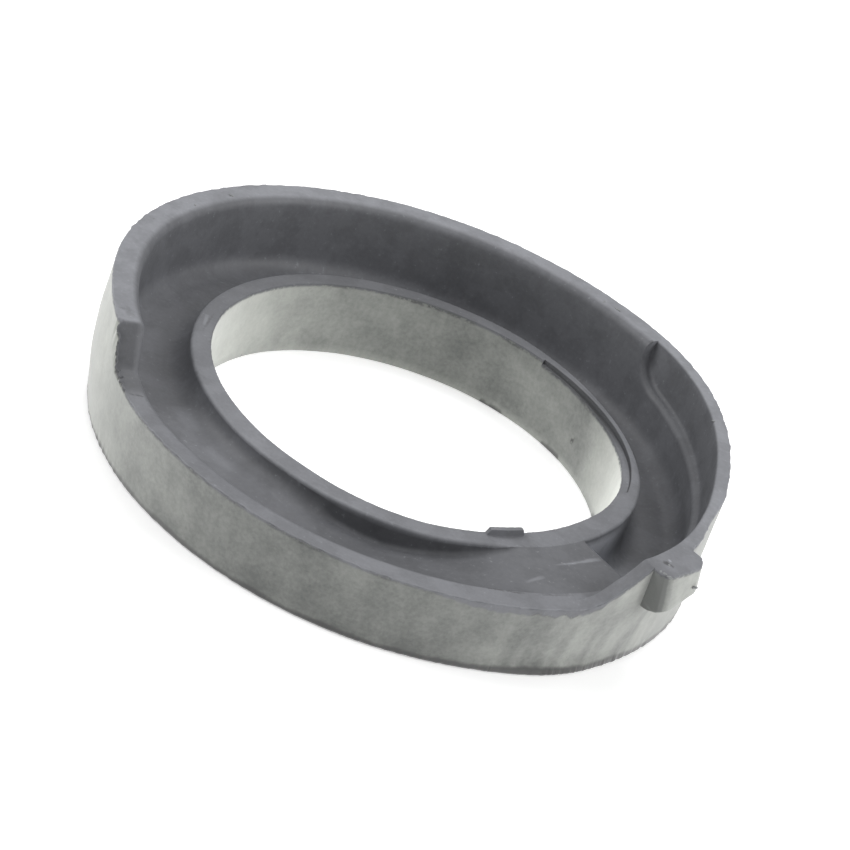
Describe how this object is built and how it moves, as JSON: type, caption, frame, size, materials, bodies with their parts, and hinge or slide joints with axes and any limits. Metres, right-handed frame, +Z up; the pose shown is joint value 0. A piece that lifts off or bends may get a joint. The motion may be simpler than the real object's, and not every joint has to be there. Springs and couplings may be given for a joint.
{
  "type": "coil spring seat",
  "caption": "Moulded rubber ring for the end of a coil spring: a climbing channel with an end step, a bore with a lip, a tall outer wall and a locating lug.",
  "frame": {"origin": "centre of the bore in the plane of the flat underside", "axes": "+Z up along the bore, from the flat underside to the channel; azimuth 0 along +X, in the middle of the leaning stretch of the wall; the step that the spring's end meets is at azimuth 326 degrees"},
  "size_m": [0.1462, 0.1487, 0.0293],
  "materials": {
    "rubber": "satin"
  },
  "bodies": {
    "root": {"spring_seat": "rubber"}
  },
  "joints": []
}
